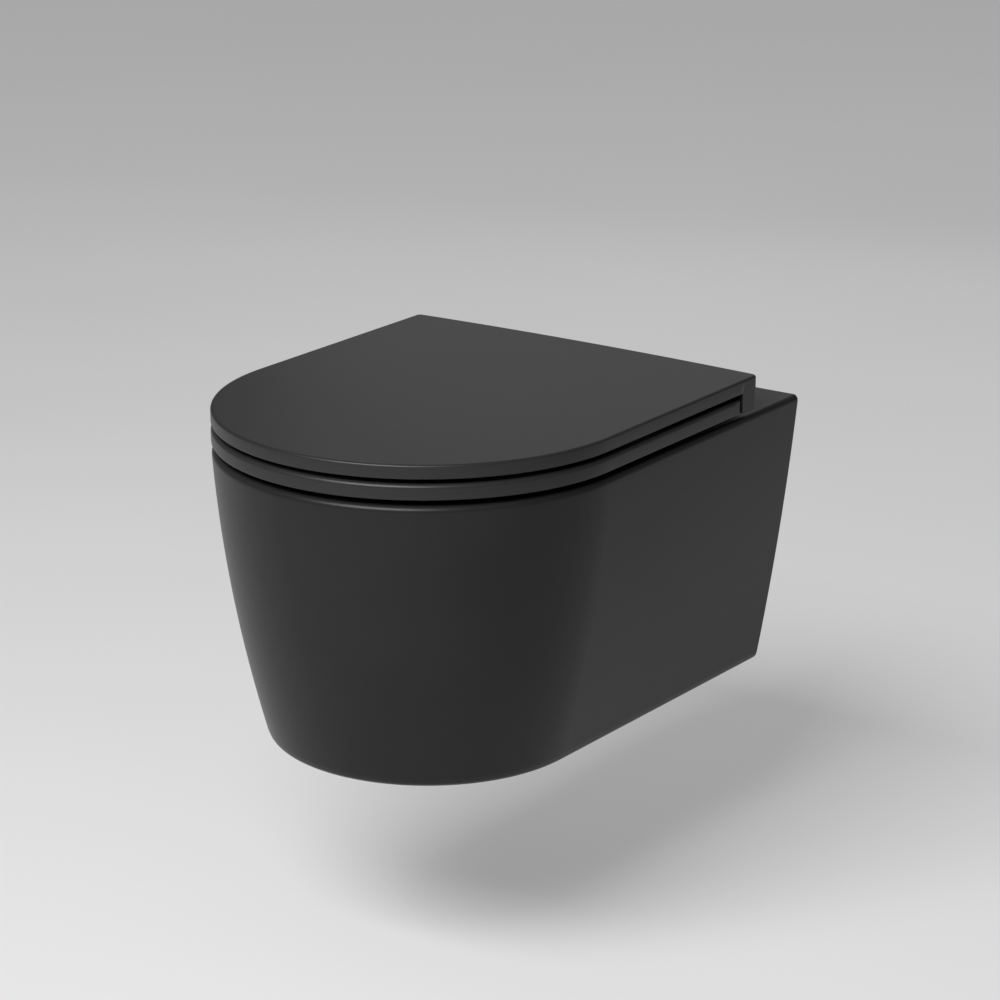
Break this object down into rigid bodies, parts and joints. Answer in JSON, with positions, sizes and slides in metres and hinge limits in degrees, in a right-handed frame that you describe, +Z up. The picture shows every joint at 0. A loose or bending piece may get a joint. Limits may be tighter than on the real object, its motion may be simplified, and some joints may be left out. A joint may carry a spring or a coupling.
{
  "type": "wall hung toilet",
  "caption": "Wall hung toilet: D-shaped rimless ceramic pan with concealed wall fixing, slim soft-close seat and lid on a quick-release hinge.",
  "frame": {"origin": "on the wall plane, midway between the two wall studs", "axes": "+Z up, +X to the right of someone facing the wall, +Y into the wall; the pan reaches out towards -Y"},
  "size_m": [0.36, 0.48, 0.2919],
  "materials": {
    "matt_ceramic": "matt glaze",
    "duroplast": "matt moulded",
    "dark_plastic": "fine matt",
    "white_nylon": "satin",
    "soft_rubber": "matt",
    "zinc_steel": "zinc plated",
    "stainless": "brushed",
    "dark_metal": "matt coated",
    "brass": "plain"
  },
  "bodies": {
    "pan": {"ceramic_pan": "matt_ceramic", "ceramic_deck": "matt_ceramic", "ceramic_floor": "matt_ceramic", "ceramic_collar": "matt_ceramic", "ceramic_bowl": "matt_ceramic", "ceramic_sump": "matt_ceramic", "ceramic_trapway": "matt_ceramic", "inlet_horn": "matt_ceramic", "flush_distributor": "dark_plastic", "wall_brackets": "zinc_steel", "bracket_sleeves": "white_nylon", "bracket_washers": "zinc_steel", "stud_nuts": "zinc_steel", "lock_bushes": "brass", "lock_screws": "zinc_steel", "access_caps": "dark_plastic", "hinge_posts": "stainless", "base_plates": "stainless", "plate_gaskets": "soft_rubber", "expansion_bushes": "soft_rubber", "cone_nuts": "white_nylon"},
    "hinge_carrier": {"right_hub": "dark_metal", "left_hub": "dark_metal", "lid_damper_shaft": "white_nylon", "seat_damper_shaft": "white_nylon", "right_latch_spring": "stainless", "left_latch_spring": "stainless"},
    "right_button": {"right_release_button": "dark_plastic", "right_latch_plate": "stainless"},
    "left_button": {"left_release_button": "dark_plastic", "left_latch_plate": "stainless"},
    "seat": {"seat_ring": "duroplast", "seat_buffers": "soft_rubber", "seat_damper_case": "dark_plastic", "seat_bush": "white_nylon"},
    "lid_body": {"lid": "duroplast", "lid_buffers": "soft_rubber", "lid_damper_case": "dark_plastic"}
  },
  "joints": [
    {"name": "seat_lift", "type": "slide", "parent": "pan", "child": "hinge_carrier", "axis": [0, 0, 1], "range_m": [0, 0.045]},
    {"name": "right_release", "type": "slide", "parent": "hinge_carrier", "child": "right_button", "axis": [0, -1, 0], "range_m": [0, 0.0025], "stiffness_N_per_m": 800, "deforming": ["right_latch_spring"]},
    {"name": "left_release", "type": "slide", "parent": "hinge_carrier", "child": "left_button", "axis": [0, -1, 0], "range_m": [0, 0.0025], "stiffness_N_per_m": 800, "deforming": ["left_latch_spring"]},
    {"name": "seat_hinge", "type": "hinge", "parent": "hinge_carrier", "child": "seat", "pos_m": [0, -0.081, 0.094], "axis": [-1, 0, 0], "range_deg": [0, 96]},
    {"name": "lid_hinge", "type": "hinge", "parent": "seat", "child": "lid_body", "pos_m": [0, -0.081, 0.094], "axis": [1, 0, 0], "range_deg": [-96, 0]}
  ]
}
